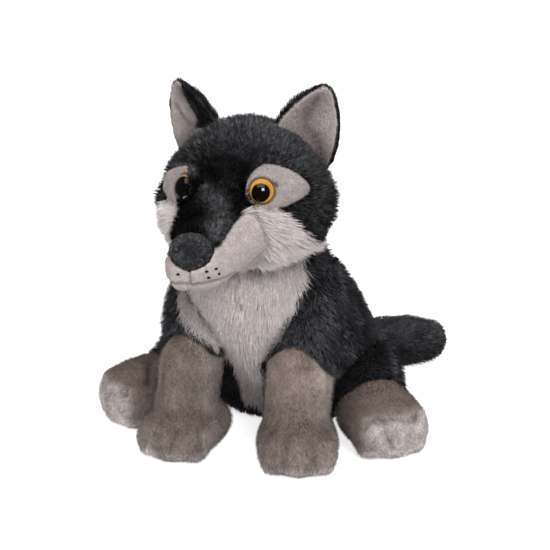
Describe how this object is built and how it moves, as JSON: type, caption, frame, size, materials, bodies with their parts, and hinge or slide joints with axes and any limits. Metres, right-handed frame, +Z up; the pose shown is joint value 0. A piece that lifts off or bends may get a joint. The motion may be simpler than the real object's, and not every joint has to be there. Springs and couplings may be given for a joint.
{
  "type": "plush wolf",
  "caption": "Seated plush wolf toy with black fur, a grey face and chest, taupe paws, amber safety eyes and a padded nose.",
  "frame": {"origin": "middle of the flat seat, on the floor", "axes": "+Z up, -Y the way the wolf faces, +X its own left"},
  "size_m": [0.2452, 0.342, 0.2569],
  "materials": {
    "black_fur": "long black pile",
    "grey_fur": "long warm grey pile",
    "grey_velour": "very short warm grey pile",
    "taupe_minky": "short taupe pile with a sheen",
    "pale_minky": "short pale taupe pile",
    "black_velour": "short black pile",
    "amber_plastic": "clear gloss dome over an amber iris and a black pupil",
    "white_plastic": "plain moulded"
  },
  "bodies": {
    "root": {"torso": "black_fur", "chest_bib": "grey_fur", "head": "black_fur", "snout_bridge": "black_velour", "chin": "grey_velour", "muzzle_left": "grey_velour", "muzzle_right": "grey_velour", "brow_patch_left": "grey_velour", "brow_patch_right": "grey_velour", "cheek_left": "grey_fur", "cheek_right": "grey_fur", "nose": "black_velour", "eye_left": "amber_plastic", "eye_right": "amber_plastic", "eye_washer_left": "white_plastic", "eye_washer_right": "white_plastic", "ear_back_left": "black_fur", "ear_back_right": "black_fur", "ear_lining_left": "grey_velour", "ear_lining_right": "grey_velour", "foreleg_left": "black_fur", "foreleg_right": "black_fur", "forepaw_left": "taupe_minky", "forepaw_right": "taupe_minky", "forepaw_sole_left": "pale_minky", "forepaw_sole_right": "pale_minky", "hind_leg_left": "black_fur", "hind_leg_right": "black_fur", "hind_foot_left": "taupe_minky", "hind_foot_right": "taupe_minky", "hind_foot_sole_left": "pale_minky", "hind_foot_sole_right": "pale_minky", "tail": "black_fur"}
  },
  "joints": []
}
